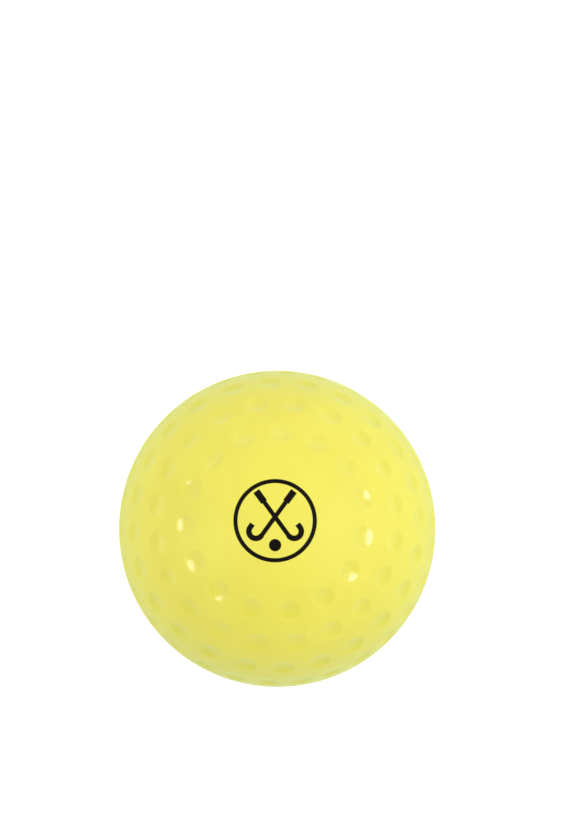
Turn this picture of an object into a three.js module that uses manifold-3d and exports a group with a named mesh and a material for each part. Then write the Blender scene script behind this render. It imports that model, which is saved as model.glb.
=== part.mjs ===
// A dimpled field hockey ball: two moulded cover halves welded round a wound cork core.
// Millimetres, +Z up, origin at the centre of the ball. The print pole faces up, as the ball lies on a table.
import * as THREE from "three";
import { ConvexHull } from "three/addons/math/ConvexHull.js";
import { mergeVertices } from "three/addons/utils/BufferGeometryUtils.js";
import Module from "manifold-3d";

// The ball and its layers, from the outside in
const BALL_DIAMETER = 73;
const COVER_WALL = 5;
const OUTER_WINDING_BUILD = 3;
const CORK_WALL = 9;
const INNER_WINDING_BUILD = 3;
const LAYER_GAP = 0.3; // clearance between neighbouring pieces
const YARN_TAIL_HOLE = 3; // opening at a winding's pole, where the end of the yarn is tucked in

// Dimples, the same on both cover halves
const DIMPLE_DIAMETER = 5.4;
const DIMPLE_DEPTH = 0.5;
// Each ring lies at a polar angle from the print pole. Its first dimple is turned from +X towards +Y.
const DIMPLE_RINGS = [
  { polar: 34.2, count: 15, first: 14.5 },
  { polar: 49.1, count: 20, first: 9.2 },
  { polar: 64, count: 24, first: 2.7 },
  { polar: 78.9, count: 30, first: 2.6 },
];

// The seam: a tongue on the upper half in a groove of the lower half, and a weld bead flush with the surface
const TONGUE_WIDTH = 1.6;
const TONGUE_HEIGHT = 1.5;
const WELD_FACE = 1.4; // width at the surface
const WELD_ROOT = 0.6; // width at the bottom of the bead
const WELD_DEPTH = 1.1;

// How the ball lies: degrees that the print pole leans from straight up towards +Y and towards -X
const POLE_BACK = 3;
const POLE_LEFT = 0.8;

// Fineness of the faceted surfaces
const RIM_POINTS = 9; // round a dimple's rim
const DISH_POINTS = 5; // round the middle of a dimple's dish
const DISH_SHARE = 0.55; // radius of that middle ring, as a share of the dimple's
const PRINT_ZONE_STEP = 6; // degrees between the rings of points on the smooth print zone
const PRINT_ZONE_GROWTH = 6; // points that each of those rings has more than the one inside it
const SEAM_SEGMENTS = 60;
const LAYER_SEGMENTS = 32;
const LAYER_RINGS = 14;
const CUT_MARGIN = 1; // how far a cutting body reaches past what it cuts

const ballRadius = BALL_DIAMETER / 2;
const coverInnerRadius = ballRadius - COVER_WALL;
const outerWindingRadius = coverInnerRadius - LAYER_GAP;
const corkRadius = outerWindingRadius - OUTER_WINDING_BUILD - LAYER_GAP;
const innerWindingRadius = corkRadius - CORK_WALL - LAYER_GAP;
const nucleusRadius = innerWindingRadius - INNER_WINDING_BUILD - LAYER_GAP;
const tongueMidRadius = (coverInnerRadius + ballRadius - WELD_DEPTH) / 2;

// In the mould's own frame the halves part on the plane y = 0, and the print pole lies along +Y.
const UPPER = 1;
const LOWER = -1;
const MOULD_AXIS = new THREE.Vector3(0, 1, 0);
const CORK_AXIS = new THREE.Vector3(0, 0, 1);
const radians = THREE.MathUtils.degToRad;
const lie = new THREE.Euler(radians(90 - POLE_BACK), 0, radians(POLE_LEFT));

const wasm = await Module();
wasm.setup();

// Solids that can be joined and cut

function solid(geometry) {
  geometry.deleteAttribute("normal");
  geometry.deleteAttribute("uv");
  const merged = mergeVertices(geometry);
  const triVerts = Uint32Array.from(merged.index.array);
  const vertProperties = merged.attributes.position.array;
  return new wasm.Manifold(new wasm.Mesh({ numProp: 3, vertProperties, triVerts }));
}

function sphere(radius) {
  return solid(new THREE.SphereGeometry(radius, LAYER_SEGMENTS, LAYER_RINGS));
}

// A ring round the mould axis, from the corners of its section as [radius, y], anticlockwise.
function ring(section) {
  const closed = [...section, section[0]];
  const outline = closed.map(([radius, y]) => new THREE.Vector2(radius, y));
  return solid(new THREE.LatheGeometry(outline, SEAM_SEGMENTS));
}

// A block that holds everything on one side of the plane at a distance from the centre along an axis.
function halfSpace(axis, side, distance) {
  const size = BALL_DIAMETER + 2 * CUT_MARGIN;
  const block = new THREE.BoxGeometry(size, size, size);
  block.translate(...axis.clone().multiplyScalar(side * (distance + size / 2)));
  return solid(block);
}

// The dimpled surface

// Unit vectors in a ring round an axis, at an angle from it.
function directionsRound(axis, angle, count, first = 0) {
  const turn = new THREE.Quaternion().setFromUnitVectors(MOULD_AXIS, axis);
  return Array.from({ length: count }, (_, i) => {
    const around = first + (i * 2 * Math.PI) / count;
    return new THREE.Vector3().setFromSphericalCoords(1, angle, around).applyQuaternion(turn);
  });
}

function dimpleCentres() {
  const fromZ = 90; // the mould's rings start at its +Z, a quarter turn before +X
  const upper = DIMPLE_RINGS.flatMap(({ polar, count, first }) =>
    directionsRound(MOULD_AXIS, radians(polar), count, radians(first + fromZ)),
  );
  const lower = upper.map((centre) => new THREE.Vector3(-centre.x, -centre.y, centre.z));
  return [...upper, ...lower];
}

// Where the ball, as it lies, touches the six sides of its box.
function touchPoints() {
  const unturn = new THREE.Quaternion().setFromEuler(lie).invert();
  return [UPPER, LOWER].flatMap((side) =>
    [0, 1, 2].map((axis) => new THREE.Vector3().setComponent(axis, side).applyQuaternion(unturn)),
  );
}

// How far the surface lies under the full sphere in a direction: a shallow round dish at each dimple.
function dishDepth(direction, centres) {
  const reach = DIMPLE_DIAMETER / 2 / ballRadius;
  const nearest = Math.min(...centres.map((centre) => centre.angleTo(direction)));
  const share = Math.min(1, nearest / reach);
  return DIMPLE_DEPTH * (1 - share * share);
}

// The whole dimpled ball: points on the sphere are joined by their convex hull, then sunk to the dishes.
function dimpledBall() {
  const centres = dimpleCentres();
  const reach = DIMPLE_DIAMETER / 2 / ballRadius;
  const directions = centres.flatMap((centre) => [
    centre,
    ...directionsRound(centre, reach * DISH_SHARE, DISH_POINTS),
    ...directionsRound(centre, reach, RIM_POINTS),
  ]);
  const printZone = radians(DIMPLE_RINGS[0].polar) - reach;
  const step = radians(PRINT_ZONE_STEP);
  for (const side of [UPPER, LOWER]) {
    const pole = MOULD_AXIS.clone().multiplyScalar(side);
    directions.push(pole);
    for (let i = 1; i * step < printZone - step / 2; i++) {
      directions.push(...directionsRound(pole, i * step, i * PRINT_ZONE_GROWTH));
    }
  }
  const seamLand = Math.asin((WELD_FACE / 2 + LAYER_GAP) / ballRadius);
  for (const tilt of [-seamLand, 0, seamLand]) {
    directions.push(...directionsRound(MOULD_AXIS, Math.PI / 2 + tilt, SEAM_SEGMENTS));
  }
  directions.push(...touchPoints());
  const sunk = new Map(
    directions.map((direction) => {
      const radius = ballRadius - dishDepth(direction, centres);
      return [direction, direction.clone().multiplyScalar(radius)];
    }),
  );
  const corners = new ConvexHull().setFromPoints(directions).faces.flatMap((face) => {
    const edges = [face.edge, face.edge.next, face.edge.next.next];
    return edges.map((edge) => sunk.get(edge.head().point));
  });
  return solid(new THREE.BufferGeometry().setFromPoints(corners));
}

// The weld bead's section, grown all round for the groove that takes it.
function weldSection(grow, overreach) {
  const bottom = ballRadius - WELD_DEPTH - grow;
  const top = ballRadius + overreach;
  const slope = (WELD_FACE - WELD_ROOT) / 2 / WELD_DEPTH;
  const halfWidth = (radius) => WELD_FACE / 2 + grow + slope * (radius - ballRadius);
  return [
    [bottom, -halfWidth(bottom)],
    [top, -halfWidth(top)],
    [top, halfWidth(top)],
    [bottom, halfWidth(bottom)],
  ];
}

// A ring round the middle of the cover's wall, from the upper half's face down into the lower half.
function tongueRing(grow, rootY) {
  const tipY = LAYER_GAP / 2 - TONGUE_HEIGHT - grow;
  const inner = tongueMidRadius - TONGUE_WIDTH / 2 - grow;
  const outer = tongueMidRadius + TONGUE_WIDTH / 2 + grow;
  return ring([
    [inner, tipY],
    [outer, tipY],
    [outer, rootY],
    [inner, rootY],
  ]);
}

const coverBlank = dimpledBall()
  .subtract(sphere(coverInnerRadius))
  .subtract(ring(weldSection(LAYER_GAP, CUT_MARGIN)));

function coverHalf(side) {
  const half = coverBlank.intersect(halfSpace(MOULD_AXIS, side, LAYER_GAP / 2));
  return side === UPPER
    ? half.add(tongueRing(0, LAYER_GAP / 2 + CUT_MARGIN))
    : half.subtract(tongueRing(LAYER_GAP, CUT_MARGIN));
}

// The layers under the cover

function winding(radius, build) {
  const tail = new THREE.CylinderGeometry(YARN_TAIL_HOLE / 2, YARN_TAIL_HOLE / 2, radius);
  tail.translate(0, radius / 2 + CUT_MARGIN, 0);
  return sphere(radius).subtract(sphere(radius - build)).subtract(solid(tail));
}

// The cork cups part on an upright plane, square to the cover's seam, so that the two joints cross.
function corkCup(side) {
  const shell = sphere(corkRadius).subtract(sphere(corkRadius - CORK_WALL));
  return shell.intersect(halfSpace(CORK_AXIS, side, LAYER_GAP / 2));
}

// Finishes and the assembly

const yellowPvc = new THREE.MeshStandardMaterial({ color: 0xf0e55c, roughness: 0.35, metalness: 0 });
const buffedPvc = new THREE.MeshStandardMaterial({ color: 0xeade58, roughness: 0.55, metalness: 0 });
const yarn = new THREE.MeshStandardMaterial({ color: 0xe4d9bf, roughness: 0.9, metalness: 0 });
const cork = new THREE.MeshStandardMaterial({ color: 0xb98a5c, roughness: 0.85, metalness: 0 });
const corkRubber = new THREE.MeshStandardMaterial({ color: 0x5d4033, roughness: 0.8, metalness: 0 });

function piece(name, made, material) {
  const { vertProperties, triVerts } = made.getMesh();
  const geometry = new THREE.BufferGeometry()
    .setAttribute("position", new THREE.BufferAttribute(vertProperties, 3))
    .setIndex(new THREE.BufferAttribute(triVerts, 1));
  geometry.computeVertexNormals();
  const mesh = new THREE.Mesh(geometry, material);
  mesh.name = name;
  return mesh;
}

const cover = new THREE.Group();
cover.add(piece("upper_cover_half", coverHalf(UPPER), yellowPvc));
cover.add(piece("lower_cover_half", coverHalf(LOWER), yellowPvc));
cover.add(piece("seam_weld", ring(weldSection(0, 0)), buffedPvc));

const core = new THREE.Group();
core.add(piece("outer_yarn_winding", winding(outerWindingRadius, OUTER_WINDING_BUILD), yarn));
core.add(piece("front_cork_cup", corkCup(1), cork));
core.add(piece("rear_cork_cup", corkCup(-1), cork));
core.add(piece("inner_yarn_winding", winding(innerWindingRadius, INNER_WINDING_BUILD), yarn));
core.add(piece("core_nucleus", sphere(nucleusRadius), corkRubber));

const ball = new THREE.Group();
ball.add(cover, core);
ball.rotation.copy(lie);

export default ball;
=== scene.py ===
"""Looks of the dimpled field hockey ball: its moulded cover, weld and wound core, on a white table."""

import math

import bpy
import numpy as np
from mathutils import Euler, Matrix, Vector

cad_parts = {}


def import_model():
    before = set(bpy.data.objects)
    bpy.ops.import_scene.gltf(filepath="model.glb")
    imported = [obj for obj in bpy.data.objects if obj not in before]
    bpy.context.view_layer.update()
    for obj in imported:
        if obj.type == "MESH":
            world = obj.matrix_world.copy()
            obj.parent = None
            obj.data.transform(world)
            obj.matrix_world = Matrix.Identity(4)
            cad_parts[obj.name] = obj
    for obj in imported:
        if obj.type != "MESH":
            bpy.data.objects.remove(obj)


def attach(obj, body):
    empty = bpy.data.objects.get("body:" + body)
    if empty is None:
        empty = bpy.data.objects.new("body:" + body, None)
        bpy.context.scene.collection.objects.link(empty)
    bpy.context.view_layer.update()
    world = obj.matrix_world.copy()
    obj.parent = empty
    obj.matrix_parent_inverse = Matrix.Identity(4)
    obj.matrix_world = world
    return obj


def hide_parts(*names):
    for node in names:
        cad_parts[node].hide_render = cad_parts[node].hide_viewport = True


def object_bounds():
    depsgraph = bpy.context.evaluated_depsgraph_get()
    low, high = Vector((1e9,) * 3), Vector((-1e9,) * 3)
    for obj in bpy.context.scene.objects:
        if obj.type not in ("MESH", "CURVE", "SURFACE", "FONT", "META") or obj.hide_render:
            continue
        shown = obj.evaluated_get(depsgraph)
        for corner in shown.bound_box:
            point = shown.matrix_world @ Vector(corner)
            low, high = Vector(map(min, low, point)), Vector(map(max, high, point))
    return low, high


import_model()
cad_low, cad_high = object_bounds()

# The ball's cover, in metres
MM = 0.001
BALL_RADIUS = (cad_high.z - cad_low.z) / 2
COVER_WALL = 5 * MM
PARTING_GAP = 0.3 * MM
EDGE_ROUND = 0.12 * MM
EDGE_BEND = (0.3, 0.7)  # a point on the rounded edge, as shares of its rounding inwards and down

# The layers inside the cover, from the outside in
LAYER_GAP = 0.3 * MM
WINDING_BUILD = 3 * MM
CORK_WALL = 9 * MM
OUTER_WINDING_RADIUS = BALL_RADIUS - COVER_WALL - LAYER_GAP
CORK_RADIUS = OUTER_WINDING_RADIUS - WINDING_BUILD - LAYER_GAP
INNER_WINDING_RADIUS = CORK_RADIUS - CORK_WALL - LAYER_GAP
NUCLEUS_RADIUS = INNER_WINDING_RADIUS - WINDING_BUILD - LAYER_GAP

# Yarn: bands of turns that cross each other, with an opening where the end of the yarn is tucked in
TAIL_HOLE_RADIUS = 1.5 * MM
OUTER_YARN = 2.4 * MM
INNER_YARN = 1.7 * MM
YARN_BANDS = 20
GOLDEN_ANGLE = math.pi * (3 - math.sqrt(5))  # spreads the bands evenly
BAND_TURNS = 2  # turns of yarn on each side of a band's middle
YARN_RELIEF = 0.6 * MM

# Cork: pits between its granules, and a mould line on the nucleus
CUP_PITS, CUP_PIT_DEPTH = 420, 0.4 * MM
NUCLEUS_PITS, NUCLEUS_PIT_DEPTH = 160, 0.35 * MM
PIT_RADII = (0.6 * MM, 1.5 * MM)
PIT_FREE_RIM = 2 * MM
MOULD_LINE_SPREAD = 0.5 * MM  # to each side of its middle
MOULD_LINE_HEIGHT = 0.2 * MM
SCATTER_SEED = 7

# The tongue of the upper half, which sits in a groove of the lower half
TONGUE_WIDTH = 1.6 * MM
TONGUE_HEIGHT = 1.5 * MM

# The weld bead
WELD_FACE = 1.4 * MM
WELD_ROOT = 0.6 * MM
WELD_DEPTH = 1.1 * MM
WELD_SEGMENTS = 360
HAIRLINE = 0.03 * MM

# Dimple rings: degrees from the print pole, how many, and the turn of the first from +X towards +Y
DIMPLE_RINGS = ((34.2, 15, 14.5), (49.1, 20, 9.2), (64.0, 24, 2.7), (78.9, 30, 2.6))
DIMPLE_RADIUS = 2.7 * MM
DIMPLE_DEPTH = 0.5 * MM
RIM_START = 0.82  # share of a dimple's radius where its dish starts to round over into the rim
RIM_END = 1 / RIM_START
FINE_ZONES = ((0.0, 1.25), (0.84, 1.1))  # dimple radii between which the facets are halved, in turn

# How the ball lies: the print pole leans a little towards +Y and -X
POLE_BACK = math.radians(3.0)
POLE_LEFT = math.radians(0.8)
LIE = Euler((-POLE_BACK, -POLE_LEFT, 0), "YXZ")

# Fineness of the modelled surfaces
SKIN_SUBDIVISIONS = 7
CORE_SUBDIVISIONS = 7
NUCLEUS_SUBDIVISIONS = 6
YARN_LINING_SUBDIVISIONS = 5
LINING_STEPS = 14
POLE_RING = 0.01 * MM  # the last ring of a lining, which closes to a point
RIM_SNAP = 0.01 * MM  # how near a cut a point counts as on it
HOLE_SNAP = 0.001 * MM  # finer, because the cap over a yarn hole is only 0.04 to 0.07 mm high
MERGE_DISTANCE = 0.001 * MM
WELD_CROWN = (1, 0.6, 0.2, -0.2, -0.6, -1)  # heights along the bead's face, as shares of half its width
SMOOTH_ANGLE = math.radians(40)

# The photograph's frame and the ball's outline in it, in pixels
PHOTO_WIDTH, PHOTO_HEIGHT = 566, 814
OUTLINE_CENTRE = (277.3, 528.8)
OUTLINE_RADIUS = 158.3
CAMERA_DISTANCE = 2.2
SENSOR_WIDTH = 36.0  # millimetres, along the frame's long side

UPPER, LOWER = 1, -1


# Small helpers for modelling

def deselect_all():
    bpy.ops.object.select_all(action="DESELECT")


def points_of(piece):
    points = np.empty(len(piece.data.vertices) * 3)
    piece.data.vertices.foreach_get("co", points)
    return points.reshape(-1, 3)


def start_editing(mode, select):
    bpy.ops.object.mode_set(mode="EDIT")
    bpy.ops.mesh.select_mode(type=mode)
    bpy.ops.mesh.select_all(action=select)


def stop_editing():
    bpy.ops.object.mode_set(mode="OBJECT")


def apply_modifier(piece, kind, **settings):
    modifier = piece.modifiers.new(kind.lower(), kind)
    for name, value in settings.items():
        setattr(modifier, name, value)
    bpy.ops.object.modifier_apply(modifier=modifier.name)


def carry_rim(start, stops):
    """Extrudes the selected rim, a circle round Z, through circles that are given as (radius, height)."""
    radius, height = start
    for next_radius, next_height in stops:
        bpy.ops.mesh.extrude_edges_move(TRANSFORM_OT_translate={"value": (0, 0, next_height - height)})
        share = next_radius / radius
        bpy.ops.transform.resize(value=(share, share, 1), center_override=(0, 0, 0))
        radius, height = next_radius, next_height


def directions_of(points):
    return points / np.linalg.norm(points, axis=1, keepdims=True)


def sink(piece, shares, depth, name):
    """Sinks each point of a round piece by its share of a depth, and keeps the shares as an attribute."""
    kept = piece.data.attributes.new(name, "FLOAT", "POINT")
    kept.data.foreach_set("value", shares)
    group = piece.vertex_groups.new(name=name)
    for index in np.flatnonzero(shares):
        group.add([int(index)], float(shares[index]), "REPLACE")
    apply_modifier(piece, "DISPLACE", vertex_group=name, strength=-depth, mid_level=0)
    piece.vertex_groups.clear()


def cut_level(height, snap, **keep):
    """Cuts the piece at a height. clear_inner keeps what is above, and clear_outer what is below."""
    start_editing("VERT", "SELECT")
    bpy.ops.mesh.bisect(plane_co=(0, 0, height), plane_no=(0, 0, 1), threshold=snap, **keep)
    stop_editing()


def select_open_rims():
    start_editing("EDGE", "DESELECT")
    bpy.ops.mesh.select_non_manifold(extend=False)


def close_up():
    bpy.ops.mesh.select_all(action="SELECT")
    bpy.ops.mesh.normals_make_consistent(inside=False)
    stop_editing()


def lay_down(piece, name, node, material):
    """Turns a finished piece as the ball lies, and puts it in the place of its CAD node."""
    piece.name = piece.data.name = name
    piece.rotation_mode = LIE.order
    piece.rotation_euler = LIE
    bpy.ops.object.transform_apply(location=True, rotation=True, scale=True)
    bpy.ops.object.shade_smooth_by_angle(angle=SMOOTH_ANGLE)
    piece.data.materials.append(material)
    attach(piece, "root")
    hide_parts(node)
    deselect_all()


# The cover halves

def dimple_centres():
    """Unit vectors to the dimples of the upper half, whose print pole points up."""
    centres = []
    for polar, count, first in DIMPLE_RINGS:
        tilt = math.radians(polar)
        spread = math.sin(tilt)
        for i in range(count):
            turn = math.radians(first + 360 * i / count)
            centres.append((spread * math.cos(turn), spread * math.sin(turn), math.cos(tilt)))
    return np.array(centres)


def dimple_reach(points):
    """Distance along the surface from each point to the nearest dimple's middle, in dimple radii."""
    nearest = np.arccos(np.clip((directions_of(points) @ dimple_centres().T).max(axis=1), -1, 1))
    return nearest * BALL_RADIUS / DIMPLE_RADIUS


def dish_shares(points):
    """How deep the surface lies at each point, as a share of the depth at a dimple's middle."""
    reach = dimple_reach(points)
    dish = 1 - reach**2
    rim = RIM_START * (RIM_END - reach) ** 2 / (RIM_END - RIM_START)
    return np.where(reach < RIM_START, dish, np.where(reach < RIM_END, rim, 0.0))


def refine_dimples(half):
    """Halves the facets in and round the dimples, and once more those along the rims."""
    for low, high in FINE_ZONES:
        start_editing("FACE", "DESELECT")
        stop_editing()
        middles = np.array([face.center for face in half.data.polygons])
        reach = dimple_reach(middles)
        half.data.polygons.foreach_set("select", (reach > low) & (reach < high))
        bpy.ops.object.mode_set(mode="EDIT")
        bpy.ops.mesh.subdivide(number_cuts=1)
        bpy.ops.mesh.select_all(action="SELECT")
        bpy.ops.mesh.quads_convert_to_tris()
        stop_editing()


def joint_stops(side, edge):
    """The section of a half's rim from its outer edge inwards: weld flank, parting face, tongue or groove."""
    radius, height = edge
    inwards, down = EDGE_BEND
    inner = BALL_RADIUS - COVER_WALL
    root = BALL_RADIUS - WELD_DEPTH
    floor = root - HAIRLINE
    face = PARTING_GAP / 2
    middle = (inner + root) / 2
    clear = 0 if side == UPPER else PARTING_GAP
    tip = face - TONGUE_HEIGHT if side == UPPER else TONGUE_HEIGHT + face
    outside = middle + TONGUE_WIDTH / 2 + clear
    inside = middle - TONGUE_WIDTH / 2 - clear
    return [
        (radius - inwards * EDGE_ROUND, height - down * EDGE_ROUND),
        (radius - EDGE_ROUND, height - EDGE_ROUND),
        (floor, WELD_ROOT / 2 + HAIRLINE),
        (floor, face),
        (outside, face),
        (outside, tip),
        (inside, tip),
        (inside, face),
        (inner, face),
    ]


def lining_stops(inner):
    """The round inner wall of half a shell, from its parting face to its pole."""
    lifts = [step / LINING_STEPS * math.pi / 2 for step in range(1, LINING_STEPS)]
    return [(inner * math.cos(lift), inner * math.sin(lift)) for lift in lifts] + [(POLE_RING, inner)]


def cover_half(side, name, node, material):
    edge_height = WELD_FACE / 2 + HAIRLINE + EDGE_ROUND
    edge = (math.sqrt(BALL_RADIUS**2 - edge_height**2), edge_height)
    bpy.ops.mesh.primitive_ico_sphere_add(subdivisions=SKIN_SUBDIVISIONS, radius=BALL_RADIUS)
    half = bpy.context.object
    cut_level(edge_height, RIM_SNAP, clear_inner=True)
    refine_dimples(half)
    sphere = {"cast_type": "SPHERE", "factor": 1, "use_radius_as_size": False, "size": BALL_RADIUS}
    apply_modifier(half, "CAST", **sphere)
    sink(half, dish_shares(points_of(half)), DIMPLE_DEPTH, "dish")
    select_open_rims()
    carry_rim(edge, joint_stops(side, edge) + lining_stops(BALL_RADIUS - COVER_WALL))
    bpy.ops.mesh.merge(type="CENTER")
    close_up()
    if side == LOWER:
        half.rotation_euler = (0, math.pi, 0)
        bpy.ops.object.transform_apply(rotation=True)
    lay_down(half, name, node, material)


# The weld bead between the halves

def weld_bead(material):
    root = BALL_RADIUS - WELD_DEPTH
    half_face, half_root = WELD_FACE / 2, WELD_ROOT / 2
    crown = [(math.sqrt(BALL_RADIUS**2 - (k * half_face) ** 2), k * half_face) for k in WELD_CROWN]
    bpy.ops.mesh.primitive_circle_add(vertices=WELD_SEGMENTS, radius=root, location=(0, 0, half_root))
    bead = bpy.context.object
    bpy.ops.object.transform_apply(location=True)
    start_editing("EDGE", "SELECT")
    carry_rim((root, half_root), crown + [(root, -half_root), (root, half_root)])
    bpy.ops.mesh.select_all(action="SELECT")
    bpy.ops.mesh.remove_doubles(threshold=MERGE_DISTANCE)
    close_up()
    lay_down(bead, "weld_bead", "seam_weld", material)


# The wound cork core

def band_axes():
    """Unit vectors spread over half a sphere by turns of the golden angle: the yarn winds round each."""
    heights = (np.arange(YARN_BANDS) + 0.5) / YARN_BANDS
    turns = np.arange(YARN_BANDS) * GOLDEN_ANGLE
    spread = np.sqrt(1 - heights**2)
    return np.stack([spread * np.cos(turns), spread * np.sin(turns), heights], axis=1)


def yarn_gaps(points, pitch):
    """How deep each point lies beside the crest of a turn, as a share of the relief.

    Where bands cross, the later one lies on top.
    """
    radius = np.linalg.norm(points[0])
    tilts = np.arcsin(np.clip(directions_of(points) @ band_axes().T, -1, 1))
    turns = tilts * radius / pitch
    on_top = np.where(abs(turns) < BAND_TURNS, np.arange(YARN_BANDS), 0).max(axis=1)
    across = turns[np.arange(len(points)), on_top]
    return 0.5 + 0.5 * np.cos(2 * math.pi * across)


def winding(radius, pitch, name, node, material):
    inner = radius - WINDING_BUILD
    bpy.ops.mesh.primitive_ico_sphere_add(subdivisions=YARN_LINING_SUBDIVISIONS, radius=inner)
    lining = bpy.context.object
    cut_level(math.sqrt(inner**2 - TAIL_HOLE_RADIUS**2), HOLE_SNAP, clear_outer=True)
    bpy.ops.mesh.primitive_ico_sphere_add(subdivisions=CORE_SUBDIVISIONS, radius=radius)
    shell = bpy.context.object
    cut_level(math.sqrt(radius**2 - TAIL_HOLE_RADIUS**2), HOLE_SNAP, clear_outer=True)
    sink(shell, yarn_gaps(points_of(shell), pitch), YARN_RELIEF, "yarn_gap")
    lining.select_set(True)
    bpy.ops.object.join()
    select_open_rims()
    bpy.ops.mesh.bridge_edge_loops()
    close_up()
    lay_down(shell, name, node, material)


def pits(points, count):
    """Small round pits scattered over a round surface, as shares of their depth."""
    draw = np.random.default_rng(SCATTER_SEED)
    middles = directions_of(draw.normal(size=(count, 3)))
    radii = draw.uniform(*PIT_RADII, count)
    radius = np.linalg.norm(points[0])
    apart = np.arccos(np.clip(directions_of(points) @ middles.T, -1, 1)) * radius / radii
    return np.clip(1 - apart**2, 0, 1).max(axis=1)


def cork_cup(turn, name, node, material):
    """Half a cork shell, made with its crown up and then turned about X to its side of the core."""
    face = LAYER_GAP / 2
    edge = (math.sqrt(CORK_RADIUS**2 - face**2), face)
    inner = CORK_RADIUS - CORK_WALL
    bpy.ops.mesh.primitive_ico_sphere_add(subdivisions=CORE_SUBDIVISIONS, radius=CORK_RADIUS)
    cup = bpy.context.object
    cut_level(face, RIM_SNAP, clear_inner=True)
    points = points_of(cup)
    sink(cup, pits(points, CUP_PITS) * (points[:, 2] > PIT_FREE_RIM), CUP_PIT_DEPTH, "pits")
    select_open_rims()
    carry_rim(edge, [(inner, face)] + lining_stops(inner))
    bpy.ops.mesh.merge(type="CENTER")
    close_up()
    cup.rotation_euler = (turn, 0, 0)
    bpy.ops.object.transform_apply(rotation=True)
    lay_down(cup, name, node, material)


def nucleus(material):
    """A moulded ball with a fine raised line where its mould closed."""
    bpy.ops.mesh.primitive_ico_sphere_add(subdivisions=NUCLEUS_SUBDIVISIONS, radius=NUCLEUS_RADIUS)
    core = bpy.context.object
    points = points_of(core)
    beside_line = 1 - np.exp(-((points[:, 2] / MOULD_LINE_SPREAD) ** 2))
    sink(core, beside_line, MOULD_LINE_HEIGHT, "beside_line")
    sink(core, pits(points, NUCLEUS_PITS) * beside_line, NUCLEUS_PIT_DEPTH, "pits")
    lay_down(core, "nucleus", "core_nucleus", material)


# Shader maths

class Value:
    """A shader socket that adds Math nodes when it is used in an expression."""

    def __init__(self, shader, socket):
        self.shader = shader
        self.socket = socket

    def math(self, operation, first, second=0.0):
        return self.shader.node("ShaderNodeMath", {"operation": operation}, {0: first, 1: second})

    def __add__(self, other):
        return self.math("ADD", self, other)

    def __radd__(self, other):
        return self.math("ADD", other, self)

    def __sub__(self, other):
        return self.math("SUBTRACT", self, other)

    def __rsub__(self, other):
        return self.math("SUBTRACT", other, self)

    def __mul__(self, other):
        return self.math("MULTIPLY", self, other)

    def __rmul__(self, other):
        return self.math("MULTIPLY", other, self)

    def __pow__(self, power):
        return self.math("POWER", self, power)

    def __abs__(self):
        return self.math("ABSOLUTE", self)

    def least(self, other):
        return self.math("MINIMUM", self, other)

    def most(self, other):
        return self.math("MAXIMUM", self, other)

    def fade(self, start, end):
        """Goes smoothly from 0 where the value is at start to 1 where it is at end."""
        settings = {"interpolation_type": "SMOOTHSTEP"}
        return self.shader.node("ShaderNodeMapRange", settings, {0: self, 1: start, 2: end})


class Shader:
    """A node tree, with one method that adds a node of any kind and links it."""

    def __init__(self, tree):
        self.tree = tree
        tree.nodes.clear()

    def node(self, kind, settings, inputs, output=0):
        made = self.tree.nodes.new(kind)
        for name, value in settings.items():
            setattr(made, name, value)
        for key, value in inputs.items():
            if isinstance(value, Value):
                self.tree.links.new(value.socket, made.inputs[key])
            else:
                made.inputs[key].default_value = value
        return Value(self, made.outputs[output]) if made.outputs else None

    def mix(self, share, first, second, how="MIX"):
        settings = {"data_type": "RGBA", "blend_type": how}
        return self.node("ShaderNodeMix", settings, {0: share, 6: first, 7: second}, 2)


def new_material(name):
    material = bpy.data.materials.new(name)
    material.use_nodes = True
    return material, Shader(material.node_tree)


# The print on the pole, in millimetres

RING_RADIUS = 9.0
RING_LINE = 0.48
STICK_CROSSING = 0.8  # how far above the pole the two sticks cross
STICK_SLANT = math.radians(36)
SHAFT_LINE = 0.52
GRIP_LINE = 0.8
GRIP_START, GRIP_END = 4.2, 7.3
SHAFT_END = 5.2
HOOK_RADIUS = 1.6
HOOK_LINE = 0.64
TOE_LENGTH = 0.9
LAP = 0.3  # how far the strokes of a stick run into each other
PRINTED_BALL = 1.4
PRINTED_BALL_DROP = 5.6
INK_EDGE = 0.06
PRINT_HEIGHTS = (32.0, 33.0)  # the ink is only above these, so not on the lining


def distance(across, along):
    return (across * across + along * along) ** 0.5


def print_mark(u, v, w):
    """1 on the print: two crossed sticks over a ball, inside a ring round the pole."""
    side, up = math.sin(STICK_SLANT), math.cos(STICK_SLANT)
    x = abs(u)
    y = v - STICK_CROSSING
    ring = abs(distance(u, v) - RING_RADIUS) - RING_LINE
    ball = distance(u, v + PRINTED_BALL_DROP) - PRINTED_BALL

    # The upper part of one stick, which folds onto the other
    along = side * x + up * y
    off_shaft = abs(up * x - side * y)
    shaft = (off_shaft - SHAFT_LINE).most(along - GRIP_END).most(-LAP - along)
    off_grip = abs(along - (GRIP_START + GRIP_END) / 2)
    grip = (off_shaft - GRIP_LINE).most(off_grip - (GRIP_END - GRIP_START) / 2)

    # The lower part, with the hook of its head curling outwards
    down = side * x - up * y
    out = up * x + side * y
    past_shaft = down - SHAFT_END
    lower_shaft = (abs(out) - SHAFT_LINE).most(past_shaft - LAP).most(-LAP - down)
    off_hook = out - HOOK_RADIUS
    hook = (abs(distance(off_hook, past_shaft) - HOOK_RADIUS) - HOOK_LINE).most(0 - past_shaft)
    toe = (abs(off_hook - HOOK_RADIUS) - HOOK_LINE).most(past_shaft - LAP).most(-TOE_LENGTH - past_shaft)

    nearest = ring.least(ball).least(shaft).least(grip).least(lower_shaft).least(hook).least(toe)
    return nearest.fade(INK_EDGE, -INK_EDGE) * w.fade(*PRINT_HEIGHTS)


# Materials of the ball. A level is a distance from the seam's plane as a share of the ball's radius.

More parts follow.
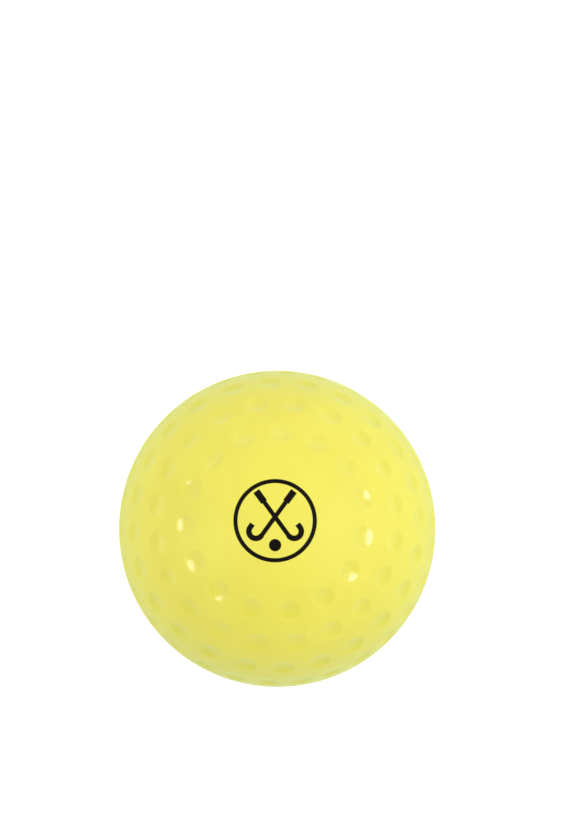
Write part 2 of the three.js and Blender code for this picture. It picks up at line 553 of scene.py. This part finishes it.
NOISE_RANGE = (0.3, 0.7)  # between which a noise goes from none to all of what it mixes in
PVC_IOR = 1.54

YELLOWS = ((0.886, 0.803, 0.088, 1), (0.914, 0.833, 0.096, 1))
# Towards the seam the yellow is painted darker in red and paler in blue: painted shade and painted sheen
SEAM_SHADE_AND_SHEEN = (0.85, 0.805, 0.105, 1)
SEAM_SHADE_LEVELS = (0.75, 0.20)
SEAM_BAND = (3.2, 1.0)  # millimetres from the seam where the buffing starts, and where it is full
BUFFED_YELLOW = (0.83, 0.77, 0.11, 1)
BUFFED_SHARE = 0.4
BUFFING_SCALES = (0.06, 0.06, 3.5)  # the marks are long round the ball and fine across
BUFFING_RELIEF = 1.5
SKIN_RELIEF = 0.006 * MM

# The dishes are painted darker and less blue, most in the outer rings and less again in the last: painted
# shade in the dimples
DISH_PAINTED_SHADE = (0.94, 0.953, 0.75, 1)
DISH_SHADE_DEPTHS = (0.02, 0.3)  # shares of a dish's depth
DISH_SHADE_SHARE = 0.2
OUTER_SHADE_SHARE, OUTER_SHADE_LEVELS = 0.8, (0.75, 0.45)
LAST_RING_SHARE, LAST_RING_LEVELS = 0.6, (0.36, 0.20)  # taken off again in the ring by the seam

MATT_ROUGHNESS = 0.6
GLOSS_DEPTHS, GLOSS_LEVELS = (0.16, 0.28), (0.25, 0.60)
COAT_LEVELS, COAT_WEIGHT = (0.62, 0.80), 0.4
GLOSS_DROP, COATED_DROP = 0.28, 0.1  # how much smoother a glossy dish is, and a coated one besides
TONE_ROUGHNESS = 0.06
INK = (0.005, 0.003, 0.002, 1)

BEAD_YELLOWS = ((0.80, 0.752, 0.082, 1), (0.85, 0.805, 0.11, 1))
BEAD_RELIEF = 0.012 * MM

WOOLS = ((0.74, 0.65, 0.48, 1), (0.82, 0.73, 0.56, 1))
FIBRE, FIBRE_SHARE = (0.60, 0.50, 0.34, 1), 0.5
# The gaps between turns are painted darker: painted shade
YARN_SHADE, YARN_SHADE_DEPTHS = (0.40, 0.32, 0.20, 1), (0.3, 1.0)
FIBRE_RELIEF = 0.1 * MM

BARKS = ((0.38, 0.19, 0.075, 1), (0.58, 0.34, 0.155, 1))
FLECK, FLECK_RANGE = (0.16, 0.07, 0.03, 1), (0.62, 0.75)
# The pits are painted darker: painted shade
PIT_PAINTED_SHADE, PIT_SHADE_DEPTHS = (0.14, 0.065, 0.03, 1), (0.2, 1.0)
GRANULE_BULGE = 2
CORK_RELIEF = 0.05 * MM

RUBBERS = ((0.085, 0.040, 0.025, 1), (0.135, 0.062, 0.036, 1))
SPECK, SPECK_RANGE = (0.36, 0.20, 0.09, 1), (0.66, 0.72)
RUBBER_RELIEF = 0.04 * MM


def pole_frame(shader):
    """The place on the ball in millimetres, with the print pole along the third axis."""
    place = shader.node("ShaderNodeTexCoord", {}, {}, "Object")
    turned = shader.node("ShaderNodeMapping", {"vector_type": "POINT"}, {
        "Vector": place,
        "Rotation": (POLE_BACK, POLE_LEFT, 0),
        "Scale": (1 / MM, 1 / MM, 1 / MM),
    })
    return turned, [shader.node("ShaderNodeSeparateXYZ", {}, {0: turned}, axis) for axis in range(3)]


def noise(shader, place, scale, detail=2.0):
    return shader.node("ShaderNodeTexNoise", {}, {"Vector": place, "Scale": scale, "Detail": detail})


def buffing(shader, place):
    """Fine marks that run round the ball, along the seam."""
    stretch = {0: place, 1: BUFFING_SCALES}
    drawn_out = shader.node("ShaderNodeVectorMath", {"operation": "MULTIPLY"}, stretch)
    return noise(shader, drawn_out, scale=1.0)


def bumps(shader, height, distance):
    """Normals for a fine relief that is as high as the distance where its height is 1."""
    return shader.node("ShaderNodeBump", {}, {"Strength": 1.0, "Distance": distance, "Height": height})


def kept_shares(shader, name):
    """The shares of depth that the modelling kept on the mesh under a name."""
    return shader.node("ShaderNodeAttribute", {"attribute_name": name}, {}, "Fac")


def yellow_pvc():
    material, shader = new_material("yellow_pvc")
    place, (u, v, w) = pole_frame(shader)
    dish = kept_shares(shader, "dish")
    ink = print_mark(u, v, w)
    level = (MM / BALL_RADIUS) * abs(w)
    seam = abs(w).fade(*SEAM_BAND)
    gloss = dish.fade(*GLOSS_DEPTHS) * level.fade(*GLOSS_LEVELS)
    coated = level.fade(*COAT_LEVELS)
    tone = noise(shader, place, scale=0.1)
    streaks = buffing(shader, place)
    grain = noise(shader, place, scale=2.0)

    plastic = shader.mix(tone.fade(*NOISE_RANGE), *YELLOWS)
    # painted shade and painted sheen towards the seam
    seam_shaded = shader.mix(level.fade(*SEAM_SHADE_LEVELS), plastic, SEAM_SHADE_AND_SHEEN)
    # painted shade in the dishes, strongest in the outer rings
    outer_rings = OUTER_SHADE_SHARE * level.fade(*OUTER_SHADE_LEVELS)
    last_ring = LAST_RING_SHARE * level.fade(*LAST_RING_LEVELS)
    dish_shade = dish.fade(*DISH_SHADE_DEPTHS) * (DISH_SHADE_SHARE + outer_rings - last_ring)
    dish_shaded = shader.mix(dish_shade, seam_shaded, DISH_PAINTED_SHADE, "MULTIPLY")
    worn = shader.mix(BUFFED_SHARE * seam * streaks.fade(*NOISE_RANGE), dish_shaded, BUFFED_YELLOW)
    smoother = (GLOSS_DROP + COATED_DROP * coated) * gloss
    bump = bumps(shader, (1 - gloss) * grain + BUFFING_RELIEF * seam * streaks, SKIN_RELIEF)
    bare = shader.node("ShaderNodeBsdfPrincipled", {}, {
        "Base Color": worn,
        "Roughness": MATT_ROUGHNESS - smoother + TONE_ROUGHNESS * (tone - 0.5),
        "IOR": PVC_IOR,
        "Coat Weight": COAT_WEIGHT * coated * gloss,
        "Coat Roughness": 0.12,
        "Sheen Weight": 0.5,
        "Sheen Roughness": 0.4,
        "Sheen Tint": (0.62, 0.9, 0.64, 1),
        "Normal": bump,
    })
    printed = shader.node("ShaderNodeBsdfPrincipled", {}, {
        "Base Color": INK,
        "Roughness": MATT_ROUGHNESS,
        "IOR": 1.2,
        "Normal": bump,
    })
    surface = shader.node("ShaderNodeMixShader", {}, {0: ink, 1: bare, 2: printed})
    shader.node("ShaderNodeOutputMaterial", {}, {"Surface": surface})
    return material


def buffed_pvc():
    material, shader = new_material("buffed_pvc")
    place, _ = pole_frame(shader)
    streaks = buffing(shader, place)
    surface = shader.node("ShaderNodeBsdfPrincipled", {}, {
        "Base Color": shader.mix(streaks.fade(*NOISE_RANGE), *BEAD_YELLOWS),
        "Roughness": 0.55 + 0.15 * streaks,
        "IOR": PVC_IOR,
        "Sheen Weight": 0.3,
        "Sheen Roughness": 0.5,
        "Normal": bumps(shader, streaks, BEAD_RELIEF),
    })
    shader.node("ShaderNodeOutputMaterial", {}, {"Surface": surface})
    return material


def yarn():
    material, shader = new_material("yarn")
    place, _ = pole_frame(shader)
    fibres = noise(shader, place, scale=6.0, detail=4.0)
    tone = noise(shader, place, scale=0.15)
    wool = shader.mix(tone.fade(*NOISE_RANGE), *WOOLS)
    teased = shader.mix(FIBRE_SHARE * fibres, wool, FIBRE)
    # painted shade in the gaps between turns
    gap = kept_shares(shader, "yarn_gap")
    shaded = shader.mix(gap.fade(*YARN_SHADE_DEPTHS), teased, YARN_SHADE)
    surface = shader.node("ShaderNodeBsdfPrincipled", {}, {
        "Base Color": shaded,
        "Roughness": 0.85 + 0.1 * fibres,
        "Sheen Weight": 0.3,
        "Normal": bumps(shader, fibres, FIBRE_RELIEF),
    })
    shader.node("ShaderNodeOutputMaterial", {}, {"Surface": surface})
    return material


def granules(shader, place, scale):
    """A random value for each granule, and the distance from its middle."""
    apart = shader.node("ShaderNodeTexVoronoi", {}, {"Vector": place, "Scale": scale}, "Distance")
    colour = Value(shader, apart.socket.node.outputs["Color"])
    return shader.node("ShaderNodeSeparateColor", {}, {0: colour}, "Red"), apart


def cork():
    material, shader = new_material("cork")
    place, _ = pole_frame(shader)
    grain, apart = granules(shader, place, scale=0.5)
    cells = noise(shader, place, scale=4.0, detail=3.0)
    bark = shader.mix(grain, *BARKS)
    flecked = shader.mix(cells.fade(*FLECK_RANGE), bark, FLECK)
    # painted shade in the pits
    pit = kept_shares(shader, "pits")
    pit_shaded = shader.mix(pit.fade(*PIT_SHADE_DEPTHS), flecked, PIT_PAINTED_SHADE)
    surface = shader.node("ShaderNodeBsdfPrincipled", {}, {
        "Base Color": pit_shaded,
        "Roughness": 0.8 + 0.12 * cells,
        "Normal": bumps(shader, cells + GRANULE_BULGE * apart, CORK_RELIEF),
    })
    shader.node("ShaderNodeOutputMaterial", {}, {"Surface": surface})
    return material


def cork_rubber():
    material, shader = new_material("cork_rubber")
    place, _ = pole_frame(shader)
    grain, _ = granules(shader, place, scale=0.8)
    mottle = noise(shader, place, scale=1.2, detail=3.0)
    rubber = shader.mix(mottle.fade(*NOISE_RANGE), *RUBBERS)
    specked = shader.mix(grain.fade(*SPECK_RANGE), rubber, SPECK)
    surface = shader.node("ShaderNodeBsdfPrincipled", {}, {
        "Base Color": specked,
        "Roughness": 0.6 + 0.25 * mottle,
        "Normal": bumps(shader, mottle, RUBBER_RELIEF),
    })
    shader.node("ShaderNodeOutputMaterial", {}, {"Surface": surface})
    return material


# The studio

TABLE_SIZE = 12
PAPER, SHADED_FRONT_PAPER = (0.8, 0.8, 0.8, 1), (0.72, 0.72, 0.72, 1)
FRONT_EDGES = (-0.14, 0.0)  # along Y, between which the table goes from a painted shade at its front to white
CAMERA_GLOW, MIRROR_GLOW = 0.6, 0.3
SKY_LEVEL = 1.12
SKY_SLOPE = (0.01, 0.23, -0.94)  # how the room's light grows along +X, +Y and +Z


def camera():
    """Looks straight down on the ball, with +Y up in the picture."""
    lens_pixels = OUTLINE_RADIUS * math.sqrt(CAMERA_DISTANCE**2 - BALL_RADIUS**2) / BALL_RADIUS
    bpy.ops.object.camera_add(location=(0, 0, CAMERA_DISTANCE), rotation=(0, 0, 0))
    made = bpy.context.object
    made.data.sensor_width = SENSOR_WIDTH
    made.data.lens = lens_pixels * SENSOR_WIDTH / PHOTO_HEIGHT
    made.data.shift_x = (PHOTO_WIDTH / 2 - OUTLINE_CENTRE[0]) / PHOTO_HEIGHT
    made.data.shift_y = (OUTLINE_CENTRE[1] - PHOTO_HEIGHT / 2) / PHOTO_HEIGHT
    bpy.context.scene.camera = made


def table_glow(shader):
    """Keeps the table white to the camera and in reflections, beside the light that falls on it."""
    camera_ray = shader.node("ShaderNodeLightPath", {}, {}, "Is Camera Ray")
    path = camera_ray.socket.node.outputs
    glossy_ray = Value(shader, path["Is Glossy Ray"])
    glass_ray = Value(shader, path["Is Transmission Ray"])
    return CAMERA_GLOW * camera_ray + MIRROR_GLOW * (glossy_ray + glass_ray).least(1)


def world():
    made = bpy.data.worlds.new("studio")
    bpy.context.scene.world = made
    made.use_nodes = True
    shader = Shader(made.node_tree)
    towards = shader.node("ShaderNodeTexCoord", {}, {}, "Generated")
    along = {0: towards, 1: SKY_SLOPE}
    slope = shader.node("ShaderNodeVectorMath", {"operation": "DOT_PRODUCT"}, along, "Value")
    light = shader.node("ShaderNodeBackground", {}, {"Color": (1, 1, 1, 1), "Strength": SKY_LEVEL + slope})
    shader.node("ShaderNodeOutputWorld", {}, {"Surface": light})


def table():
    bpy.ops.mesh.primitive_plane_add(size=TABLE_SIZE, location=(0, 0, cad_low.z))
    made = bpy.context.object
    made.name = "white_table"
    material, shader = new_material("white_table")
    place = shader.node("ShaderNodeTexCoord", {}, {}, "Object")
    depth = shader.node("ShaderNodeSeparateXYZ", {}, {0: place}, "Y")
    # painted shade at the front of the table
    white = shader.mix(depth.fade(*FRONT_EDGES), SHADED_FRONT_PAPER, PAPER)
    paper = shader.node("ShaderNodeBsdfDiffuse", {}, {"Color": white})
    glow = shader.node("ShaderNodeEmission", {}, {"Strength": table_glow(shader)})
    both = shader.node("ShaderNodeAddShader", {}, {0: paper, 1: glow})
    shader.node("ShaderNodeOutputMaterial", {}, {"Surface": both})
    made.data.materials.append(material)


def lamp(name, polar, turn, distance, width, height, radiance):
    """A soft panel that faces the ball, at degrees from straight up and turned from +X towards +Y."""
    tilt, around = math.radians(polar), math.radians(turn)
    spread = math.sin(tilt)
    towards = Vector((spread * math.cos(around), spread * math.sin(around), math.cos(tilt)))
    bpy.ops.object.light_add(type="AREA", location=towards * distance)
    made = bpy.context.object
    made.name = name
    made.rotation_euler = towards.to_track_quat("Z", "Y").to_euler()
    made.data.shape = "RECTANGLE"
    made.data.size = width
    made.data.size_y = height
    made.data.energy = radiance * math.pi * width * height


def studio():
    camera()
    world()
    table()
    lamp("right_softbox", polar=45.5, turn=-3, distance=1.0, width=0.70, height=0.34, radiance=6.2)
    lamp("left_softbox", polar=47, turn=189, distance=1.0, width=0.70, height=0.34, radiance=4.4)


# Dressing the ball

deselect_all()
skin = yellow_pvc()
cover_half(UPPER, "upper_cover", "upper_cover_half", skin)
cover_half(LOWER, "lower_cover", "lower_cover_half", skin)
weld_bead(buffed_pvc())
wool = yarn()
winding(OUTER_WINDING_RADIUS, OUTER_YARN, "outer_winding", "outer_yarn_winding", wool)
pressed_cork = cork()
cork_cup(math.pi / 2, "front_cork", "front_cork_cup", pressed_cork)
cork_cup(-math.pi / 2, "rear_cork", "rear_cork_cup", pressed_cork)
winding(INNER_WINDING_RADIUS, INNER_YARN, "inner_winding", "inner_yarn_winding", wool)
nucleus(cork_rubber())
studio()

bpy.context.scene.view_settings.view_transform = "Standard"
